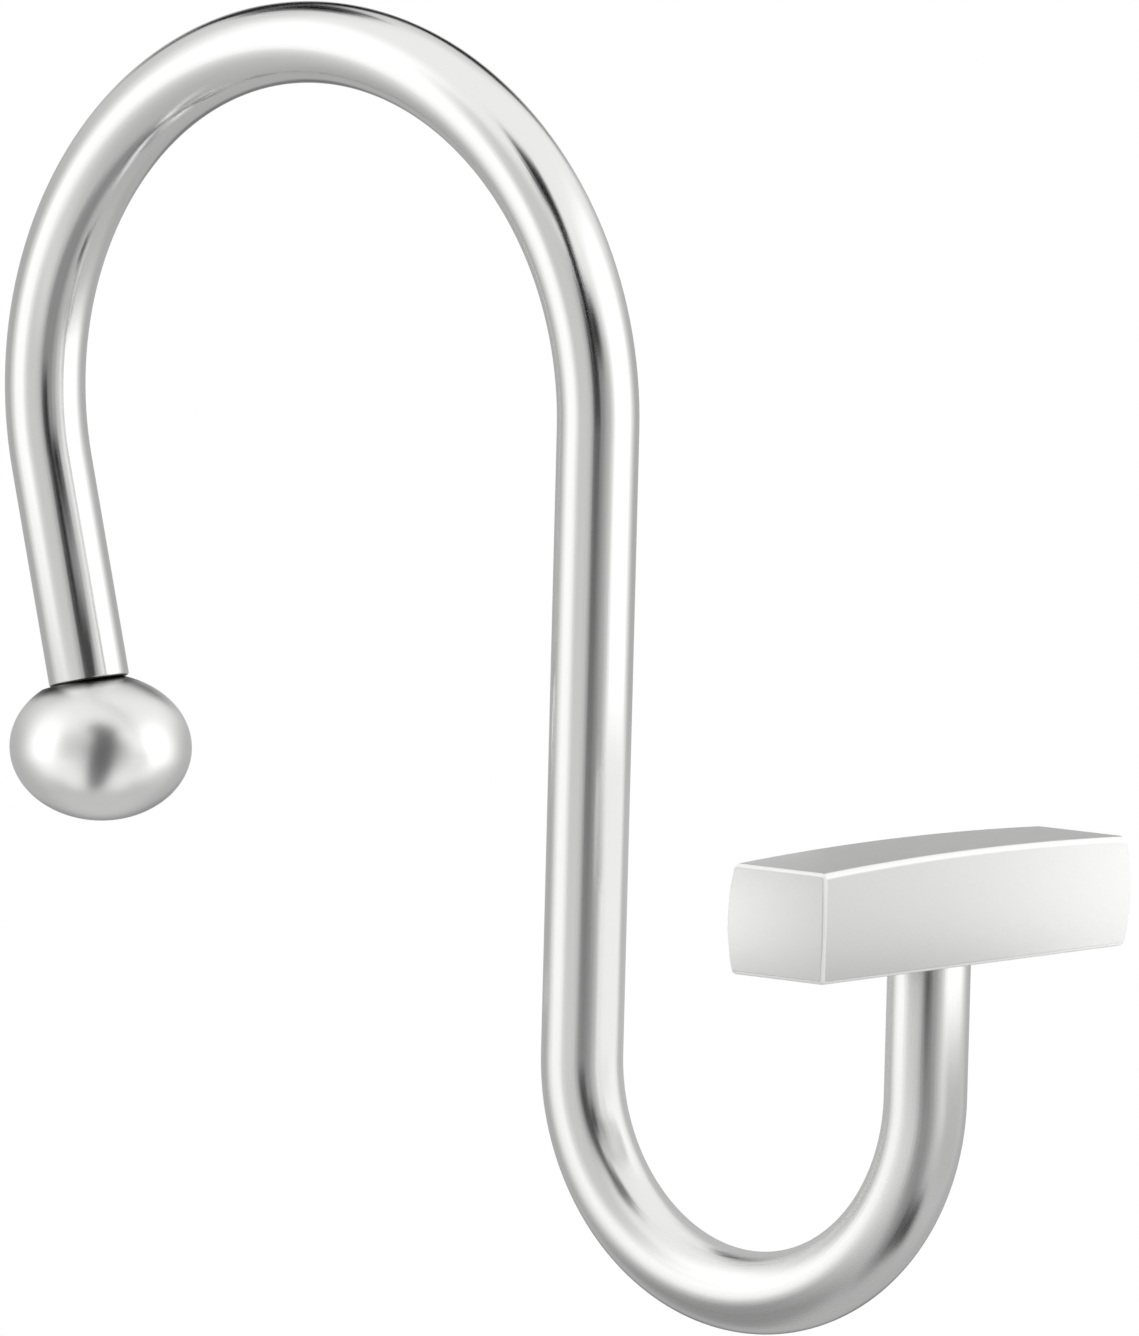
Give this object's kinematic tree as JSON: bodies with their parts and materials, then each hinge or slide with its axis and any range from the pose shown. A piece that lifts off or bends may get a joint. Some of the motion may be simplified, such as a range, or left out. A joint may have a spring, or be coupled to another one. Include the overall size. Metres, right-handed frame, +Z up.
{
  "type": "shower curtain hook",
  "caption": "Open S-shaped wire hook that hangs over a shower rod, with a flattened ball on its tip and a crosswise bar on its front leg that keeps the curtain's eyelet on.",
  "frame": {"origin": "centre of the bend that hangs over the rod, in the plane of the wire", "axes": "+Z up as the hook hangs, +X from the ball towards the front bar, Y along the rod"},
  "size_m": [0.0766, 0.03, 0.0782],
  "materials": {
    "polished_wire": "polished stainless steel wire",
    "satin_ball": "satin polished stainless steel",
    "satin_bar": "satin nickel plate"
  },
  "bodies": {
    "root": {"hook_wire": "polished_wire", "end_ball": "satin_ball", "front_bar": "satin_bar"}
  },
  "joints": []
}
